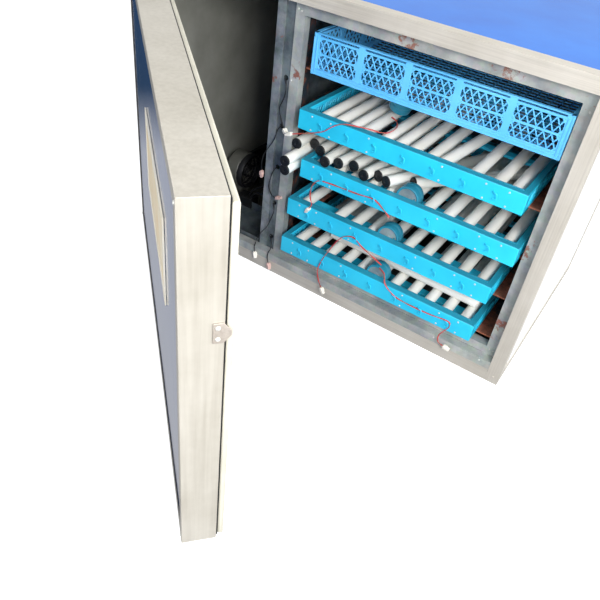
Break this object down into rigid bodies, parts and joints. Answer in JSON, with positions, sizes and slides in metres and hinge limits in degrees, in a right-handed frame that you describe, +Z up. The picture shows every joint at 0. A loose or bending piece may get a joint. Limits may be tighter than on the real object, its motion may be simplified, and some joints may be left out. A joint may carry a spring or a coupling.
{
  "type": "egg incubator",
  "caption": "Cabinet egg incubator with an insulated shell, side blower bay, sliding roller trays, an egg basket and a glazed door.",
  "frame": {"origin": "middle of the base panel's underside, in plan, where the cabinet stands", "axes": "+Z up; the door and the tray fronts face -Y; +X towards the right wall, away from the hinges"},
  "size_m": [0.9195, 1.1644, 0.62],
  "materials": {
    "steel_white": "satin white skin",
    "steel_blue": "glossy blue skin",
    "aluminium": "mill finish",
    "galvanised": "galvanised, dull",
    "runner_steel": "mild steel with rust",
    "dark_trim": "matt black",
    "blower_plastic": "light grey",
    "motor_steel": "plated",
    "heater_steel": "stainless sheath",
    "tray_plastic": "moulded cyan",
    "basket_plastic": "moulded light blue",
    "roller_plastic": "extruded white",
    "motor_teal": "teal cap",
    "window_frame": "cream moulding",
    "window_pane": "yellowed clear pane",
    "gasket": "cream lip",
    "lead_red": "thin insulated wire"
  },
  "bodies": {
    "cabinet": {"base_panel": "steel_white", "roof_panel": "steel_blue", "left_wall_panel": "steel_white", "right_wall_panel": "steel_white", "rear_wall_panel": "steel_white", "front_stile_left": "aluminium", "front_stile_right": "aluminium", "front_edge_top": "aluminium", "front_edge_bottom": "aluminium", "edge_frame": "aluminium", "sill_tube": "galvanised", "left_wall_plinth": "dark_trim", "tray_frame": "galvanised", "divider_post": "galvanised", "divider_sheet": "galvanised", "left_runners": "runner_steel", "right_runners": "runner_steel", "blower_housing": "blower_plastic", "blower_motor": "motor_steel", "heater_element": "heater_steel", "control_box": "dark_trim", "water_pan": "galvanised", "temperature_probe": "motor_steel", "hinge_leaf_cabinet": "aluminium"},
    "blower_fan": {"blower_impeller": "dark_trim"},
    "door": {"door_frame": "aluminium", "door_gasket": "gasket", "door_panel": "steel_blue", "window_frame": "window_frame", "window_pane": "window_pane", "latch_catch": "motor_steel", "hinge_leaf_door": "aluminium"},
    "tray_1": {"tray_1_frame": "tray_plastic", "tray_1_motor": "motor_teal", "tray_1_rollers": "roller_plastic"},
    "tray_2": {"tray_2_frame": "tray_plastic", "tray_2_motor": "motor_teal", "tray_2_rollers": "roller_plastic", "spare_rollers": "roller_plastic", "tray_2_lead": "lead_red"},
    "tray_3": {"tray_3_frame": "tray_plastic", "tray_3_motor": "motor_teal", "tray_3_rollers": "roller_plastic", "tray_3_lead": "lead_red"},
    "tray_4": {"tray_4_frame": "tray_plastic", "tray_4_motor": "motor_teal", "long_tube": "roller_plastic", "tray_4_lead": "lead_red"},
    "basket": {"egg_basket": "basket_plastic"},
    "tray_4_roller_1": {"tray_4_roller_1": "roller_plastic"},
    "tray_4_roller_2": {"tray_4_roller_2": "roller_plastic"},
    "tray_4_roller_3": {"tray_4_roller_3": "roller_plastic"},
    "tray_4_roller_4": {"tray_4_roller_4": "roller_plastic"},
    "tray_4_roller_5": {"tray_4_roller_5": "roller_plastic"},
    "tray_4_roller_6": {"tray_4_roller_6": "roller_plastic"},
    "tray_4_roller_7": {"tray_4_roller_7": "roller_plastic"},
    "tray_4_roller_8": {"tray_4_roller_8": "roller_plastic"},
    "tray_4_roller_9": {"tray_4_roller_9": "roller_plastic"},
    "tray_4_roller_10": {"tray_4_roller_10": "roller_plastic"},
    "tray_4_roller_11": {"tray_4_roller_11": "roller_plastic"}
  },
  "joints": [
    {"name": "door_hinge", "type": "hinge", "parent": "cabinet", "child": "door", "pos_m": [-0.4445, -0.264, 0.315], "axis": [0, 0, -1], "range_deg": [-41.8, 68.2], "deforming": ["tray_3_lead", "tray_4_lead"]},
    {"name": "blower_spin", "type": "hinge", "parent": "cabinet", "child": "blower_fan", "pos_m": [-0.365, -0.058, 0.0945], "axis": [1, 0, 0], "continuous": true},
    {"name": "tray_1_slide", "type": "slide", "parent": "cabinet", "child": "tray_1", "axis": [0, -1, 0], "range_m": [0, 0.25]},
    {"name": "tray_2_slide", "type": "slide", "parent": "cabinet", "child": "tray_2", "axis": [0, -1, 0], "range_m": [0, 0.25]},
    {"name": "tray_3_slide", "type": "slide", "parent": "cabinet", "child": "tray_3", "axis": [0, -1, 0], "range_m": [0, 0.25], "deforming": ["tray_2_lead"]},
    {"name": "tray_4_slide", "type": "slide", "parent": "cabinet", "child": "tray_4", "axis": [0, -1, 0], "range_m": [0, 0.25], "deforming": ["tray_3_lead"]},
    {"name": "basket_slide", "type": "slide", "parent": "cabinet", "child": "basket", "axis": [0, -1, 0], "range_m": [0, 0.25]},
    {"name": "tray_4_roller_1_spin", "type": "hinge", "parent": "tray_4", "child": "tray_4_roller_1", "pos_m": [-0.0725, -0.07, 0.098], "axis": [0, 1, 0], "continuous": true},
    {"name": "tray_4_roller_2_spin", "type": "hinge", "parent": "tray_4", "child": "tray_4_roller_2", "pos_m": [-0.0321, -0.07, 0.098], "axis": [0, 1, 0], "continuous": true},
    {"name": "tray_4_roller_3_spin", "type": "hinge", "parent": "tray_4", "child": "tray_4_roller_3", "pos_m": [0.0083, -0.07, 0.098], "axis": [0, 1, 0], "continuous": true},
    {"name": "tray_4_roller_4_spin", "type": "hinge", "parent": "tray_4", "child": "tray_4_roller_4", "pos_m": [0.0487, -0.07, 0.098], "axis": [0, 1, 0], "continuous": true},
    {"name": "tray_4_roller_5_spin", "type": "hinge", "parent": "tray_4", "child": "tray_4_roller_5", "pos_m": [0.0891, -0.07, 0.098], "axis": [0, 1, 0], "continuous": true},
    {"name": "tray_4_roller_6_spin", "type": "hinge", "parent": "tray_4", "child": "tray_4_roller_6", "pos_m": [0.1295, -0.07, 0.098], "axis": [0, 1, 0], "continuous": true},
    {"name": "tray_4_roller_7_spin", "type": "hinge", "parent": "tray_4", "child": "tray_4_roller_7", "pos_m": [0.1699, -0.07, 0.098], "axis": [0, 1, 0], "continuous": true},
    {"name": "tray_4_roller_8_spin", "type": "hinge", "parent": "tray_4", "child": "tray_4_roller_8", "pos_m": [0.2103, -0.07, 0.098], "axis": [0, 1, 0], "continuous": true},
    {"name": "tray_4_roller_9_spin", "type": "hinge", "parent": "tray_4", "child": "tray_4_roller_9", "pos_m": [0.2507, -0.07, 0.098], "axis": [0, 1, 0], "continuous": true},
    {"name": "tray_4_roller_10_spin", "type": "hinge", "parent": "tray_4", "child": "tray_4_roller_10", "pos_m": [0.2911, -0.07, 0.098], "axis": [0, 1, 0], "continuous": true},
    {"name": "tray_4_roller_11_spin", "type": "hinge", "parent": "tray_4", "child": "tray_4_roller_11", "pos_m": [0.3315, -0.07, 0.098], "axis": [0, 1, 0], "continuous": true}
  ],
  "couplings": [
    {"joint": "tray_4_roller_1_spin", "follows": "tray_4_roller_6_spin", "ratio": 1},
    {"joint": "tray_4_roller_2_spin", "follows": "tray_4_roller_6_spin", "ratio": 1},
    {"joint": "tray_4_roller_3_spin", "follows": "tray_4_roller_6_spin", "ratio": 1},
    {"joint": "tray_4_roller_4_spin", "follows": "tray_4_roller_6_spin", "ratio": 1},
    {"joint": "tray_4_roller_5_spin", "follows": "tray_4_roller_6_spin", "ratio": 1},
    {"joint": "tray_4_roller_7_spin", "follows": "tray_4_roller_6_spin", "ratio": 1},
    {"joint": "tray_4_roller_8_spin", "follows": "tray_4_roller_6_spin", "ratio": 1},
    {"joint": "tray_4_roller_9_spin", "follows": "tray_4_roller_6_spin", "ratio": 1},
    {"joint": "tray_4_roller_10_spin", "follows": "tray_4_roller_6_spin", "ratio": 1},
    {"joint": "tray_4_roller_11_spin", "follows": "tray_4_roller_6_spin", "ratio": 1}
  ]
}
